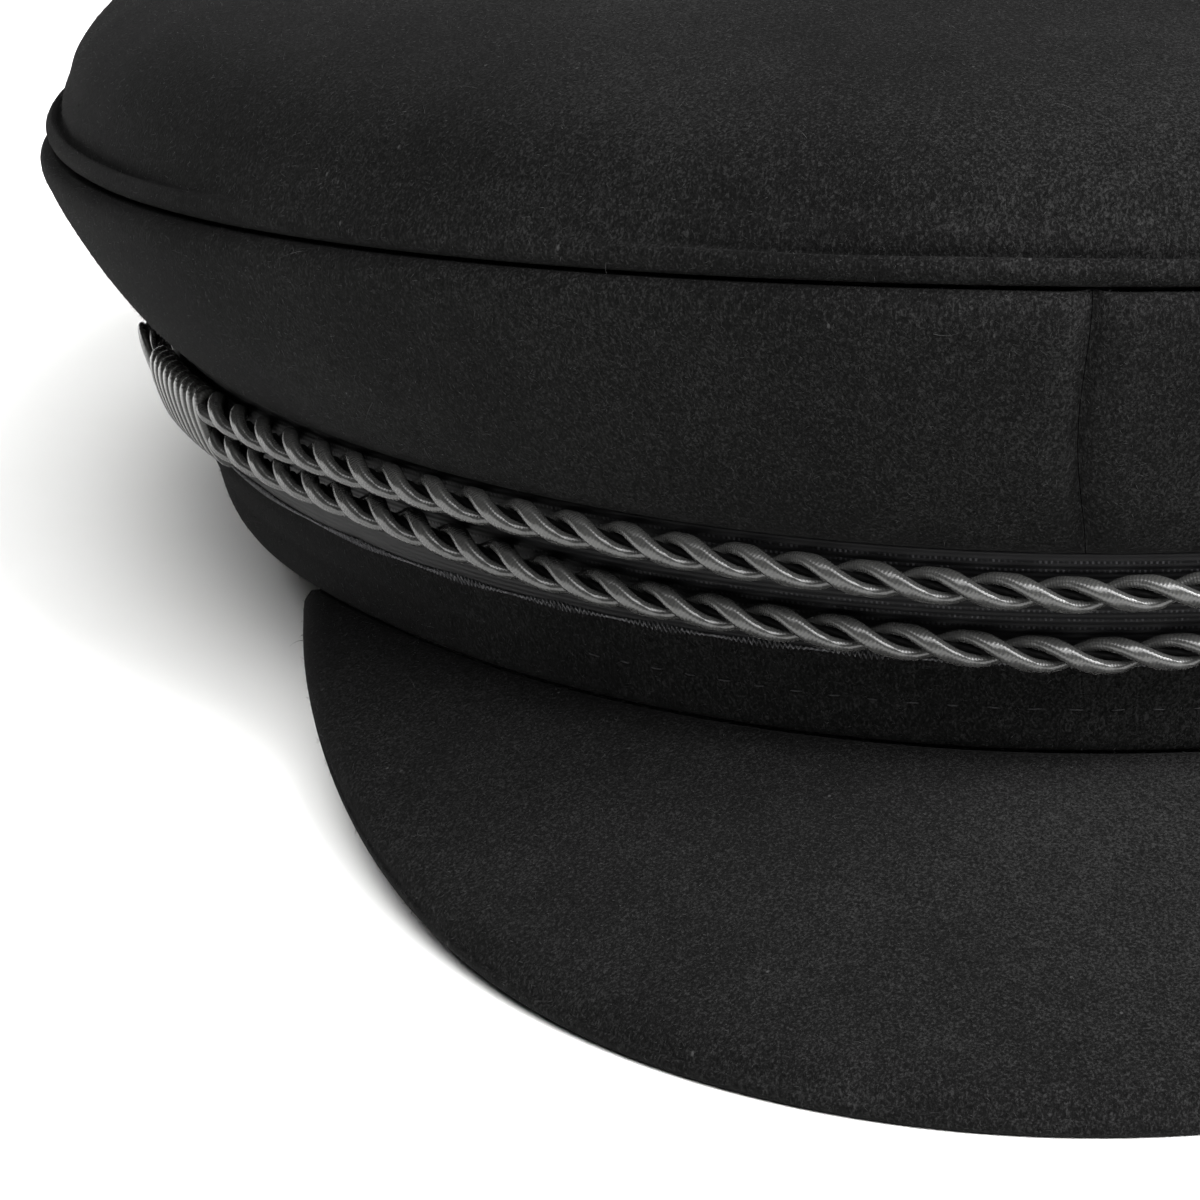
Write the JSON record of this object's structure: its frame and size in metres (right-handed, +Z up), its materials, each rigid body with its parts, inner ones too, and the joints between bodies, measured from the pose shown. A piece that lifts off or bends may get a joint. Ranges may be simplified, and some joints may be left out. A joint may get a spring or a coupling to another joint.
{
  "type": "breton fisherman cap",
  "caption": "Soft wool fisherman cap with a domed crown, head band, woven ribbon, doubled twisted cord held at side buttons, and a curved front peak.",
  "frame": {"origin": "middle of the bounding box's base, on the surface that the cap rests on", "axes": "+Z up, -Y towards the peak, +X to the wearer's left"},
  "size_m": [0.2066, 0.2692, 0.0814],
  "materials": {
    "wool_cloth": "milled melton wool, matt with a short nap",
    "woven_ribbon": "ribbed woven ribbon with a looped lower edge",
    "twisted_cord": "satin gimp-wrapped two-ply cord",
    "covered_button": "plain thread-covered button"
  },
  "bodies": {
    "root": {"crown_top": "wool_cloth", "crown_side_left": "wool_cloth", "crown_side_right": "wool_cloth", "head_band": "wool_cloth", "peak": "wool_cloth", "ribbon": "woven_ribbon", "cord": "twisted_cord", "keeper_left": "twisted_cord", "keeper_right": "twisted_cord", "button_left": "covered_button", "button_right": "covered_button"}
  },
  "joints": []
}
